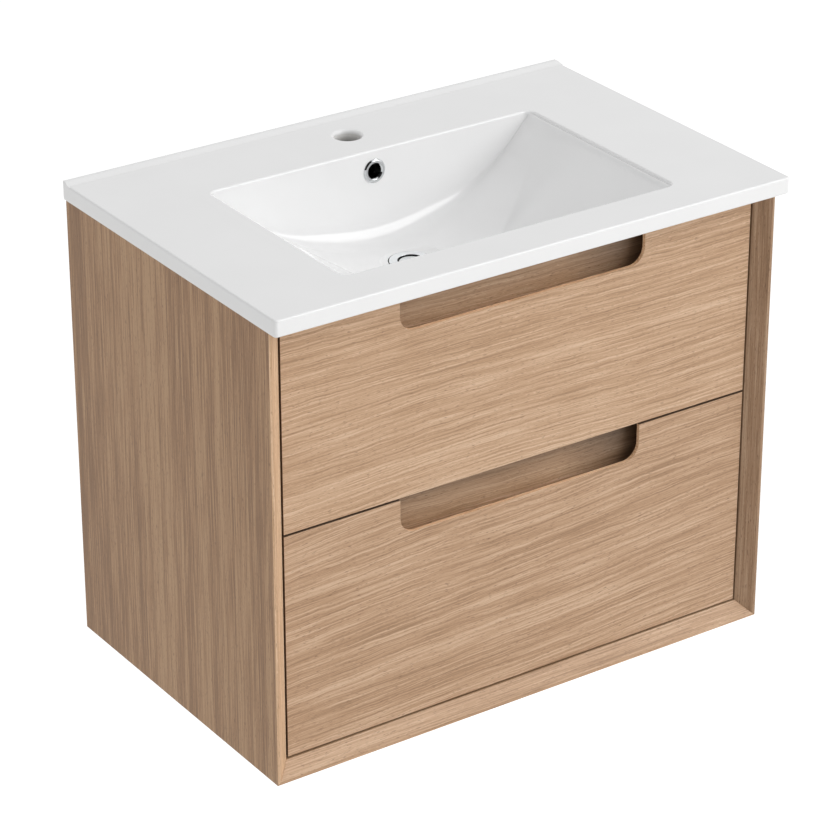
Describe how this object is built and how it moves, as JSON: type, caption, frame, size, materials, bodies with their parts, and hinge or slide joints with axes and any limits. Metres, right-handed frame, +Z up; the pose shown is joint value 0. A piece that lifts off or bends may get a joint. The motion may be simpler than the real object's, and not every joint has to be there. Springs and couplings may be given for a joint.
{
  "type": "wall-hung bathroom vanity",
  "caption": "Wall-hung bathroom vanity: oak cabinet with two handle-less drawers on ball-bearing runners under a one-piece ceramic scoop basin with a pop-up waste.",
  "frame": {"origin": "centre of the four wall-bolt holes, on the wall plane and half way up the cabinet", "axes": "+X to the right as seen from the front, +Y towards the wall, +Z up"},
  "size_m": [0.75, 0.49, 0.631],
  "materials": {
    "oak_front": "matt lacquered oak veneer, grain running across",
    "oak_carcass": "matt lacquered oak veneer",
    "melamine": "light grey melamine on board",
    "ceramic": "white gloss glaze",
    "chrome": "polished chrome plate",
    "steel": "zinc plated",
    "rubber": "matt black",
    "nylon": "satin"
  },
  "bodies": {
    "cabinet": {"basin": "ceramic", "basin_bowl": "ceramic", "overflow_ring": "chrome", "waste_body": "chrome", "waste_washer": "rubber", "waste_gasket": "rubber", "waste_nut": "chrome", "waste_cartridge": "nylon", "side_left": "oak_carcass", "side_right": "oak_carcass", "bottom_panel": "oak_carcass", "rear_top_rail": "oak_carcass", "rear_bottom_rail": "oak_carcass", "fixing_plates": "steel", "corner_brackets": "steel", "bracket_screws": "steel", "upper_runner_outer_left": "steel", "upper_runner_outer_right": "steel", "lower_runner_outer_left": "steel", "lower_runner_outer_right": "steel", "runner_screws": "steel"},
    "upper_drawer": {"upper_front": "oak_front", "upper_pull_back": "oak_carcass", "upper_inner_front": "melamine", "upper_side_left": "melamine", "upper_side_right": "melamine", "upper_base": "melamine", "upper_back_left": "melamine", "upper_back_right": "melamine", "upper_well_left": "melamine", "upper_well_right": "melamine", "upper_well_front": "melamine", "upper_front_screws": "steel", "upper_runner_inner_left": "steel", "upper_runner_inner_right": "steel", "upper_slide_screws": "steel"},
    "lower_drawer": {"lower_front": "oak_front", "lower_pull_back": "oak_carcass", "lower_inner_front": "melamine", "lower_side_left": "melamine", "lower_side_right": "melamine", "lower_base": "melamine", "lower_back": "melamine", "lower_front_screws": "steel", "lower_runner_inner_left": "steel", "lower_runner_inner_right": "steel", "lower_slide_screws": "steel"},
    "upper_mid_members": {"upper_runner_mid_left": "steel", "upper_runner_mid_right": "steel"},
    "lower_mid_members": {"lower_runner_mid_left": "steel", "lower_runner_mid_right": "steel"},
    "upper_cages_outer": {"upper_outer_cages": "steel"},
    "upper_cages_inner": {"upper_inner_cages": "steel"},
    "lower_cages_outer": {"lower_outer_cages": "steel"},
    "lower_cages_inner": {"lower_inner_cages": "steel"},
    "popup": {"waste_button": "chrome"}
  },
  "joints": [
    {"name": "upper_drawer_slide", "type": "slide", "parent": "cabinet", "child": "upper_drawer", "axis": [0, -1, 0], "range_m": [0, 0.33]},
    {"name": "upper_mid_slide", "type": "slide", "parent": "cabinet", "child": "upper_mid_members", "axis": [0, -1, 0], "range_m": [0, 0.1651]},
    {"name": "upper_outer_cage_roll", "type": "slide", "parent": "cabinet", "child": "upper_cages_outer", "axis": [0, -1, 0], "range_m": [0, 0.0826]},
    {"name": "upper_inner_cage_roll", "type": "slide", "parent": "cabinet", "child": "upper_cages_inner", "axis": [0, -1, 0], "range_m": [0, 0.2476]},
    {"name": "lower_drawer_slide", "type": "slide", "parent": "cabinet", "child": "lower_drawer", "axis": [0, -1, 0], "range_m": [0, 0.33]},
    {"name": "lower_mid_slide", "type": "slide", "parent": "cabinet", "child": "lower_mid_members", "axis": [0, -1, 0], "range_m": [0, 0.1651]},
    {"name": "lower_outer_cage_roll", "type": "slide", "parent": "cabinet", "child": "lower_cages_outer", "axis": [0, -1, 0], "range_m": [0, 0.0826]},
    {"name": "lower_inner_cage_roll", "type": "slide", "parent": "cabinet", "child": "lower_cages_inner", "axis": [0, -1, 0], "range_m": [0, 0.2476]},
    {"name": "popup_lift", "type": "slide", "parent": "cabinet", "child": "popup", "axis": [0, 0, 1], "range_m": [0, 0.008]}
  ],
  "couplings": [
    {"joint": "upper_mid_slide", "follows": "upper_drawer_slide", "ratio": 0.5},
    {"joint": "upper_outer_cage_roll", "follows": "upper_drawer_slide", "ratio": 0.25},
    {"joint": "upper_inner_cage_roll", "follows": "upper_drawer_slide", "ratio": 0.75},
    {"joint": "lower_mid_slide", "follows": "lower_drawer_slide", "ratio": 0.5},
    {"joint": "lower_outer_cage_roll", "follows": "lower_drawer_slide", "ratio": 0.25},
    {"joint": "lower_inner_cage_roll", "follows": "lower_drawer_slide", "ratio": 0.75}
  ]
}
